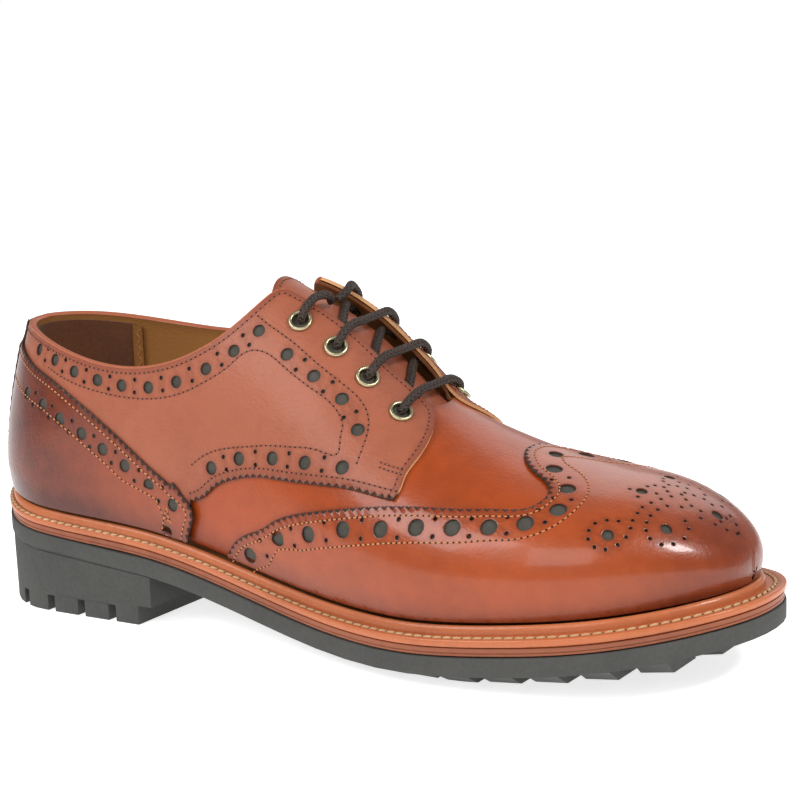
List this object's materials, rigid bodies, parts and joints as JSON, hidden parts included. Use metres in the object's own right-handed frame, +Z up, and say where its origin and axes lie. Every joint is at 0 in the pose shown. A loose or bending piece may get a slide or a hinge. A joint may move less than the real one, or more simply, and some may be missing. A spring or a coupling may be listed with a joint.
{
  "type": "brogue shoe",
  "caption": "Right-foot open-laced wing-cap brogue shoe with a storm-welted, cleated rubber sole and laces through metal eyelets.",
  "frame": {"origin": "on the floor under the middle of the heel", "axes": "+X from heel to toe, +Y to the inner (medial) side of the foot, +Z up"},
  "size_m": [0.306, 0.1098, 0.1238],
  "materials": {
    "rubber": "matte moulded rubber",
    "midsole_leather": "stained leather edge",
    "welt_leather": "polished leather",
    "insole_leather": "smooth lining leather",
    "upper_leather": "burnished calf leather",
    "tongue_leather": "burnished calf leather",
    "lining_leather": "tan lining leather",
    "suede": "brown suede heel grip",
    "thread": "waxed thread",
    "eyelet_brass": "antique brass",
    "lace_braid": "waxed cotton braid"
  },
  "bodies": {
    "root": {"outsole": "rubber", "heel": "rubber", "midsole": "midsole_leather", "welt": "welt_leather", "insole": "insole_leather", "upper": "upper_leather", "tongue": "tongue_leather", "wing_cap": "upper_leather", "heel_counter": "upper_leather", "back_strip": "upper_leather", "quarter_lateral": "upper_leather", "quarter_medial": "upper_leather", "eyelet_lateral_1": "eyelet_brass", "eyelet_lateral_2": "eyelet_brass", "eyelet_lateral_3": "eyelet_brass", "eyelet_lateral_4": "eyelet_brass", "eyelet_medial_1": "eyelet_brass", "eyelet_medial_2": "eyelet_brass", "eyelet_medial_3": "eyelet_brass", "eyelet_medial_4": "eyelet_brass", "lace_top_lateral": "lace_braid", "lace_top_medial": "lace_braid", "lace_bar_2": "lace_braid", "lace_bar_3": "lace_braid", "lace_bar_4": "lace_braid"}
  },
  "joints": []
}
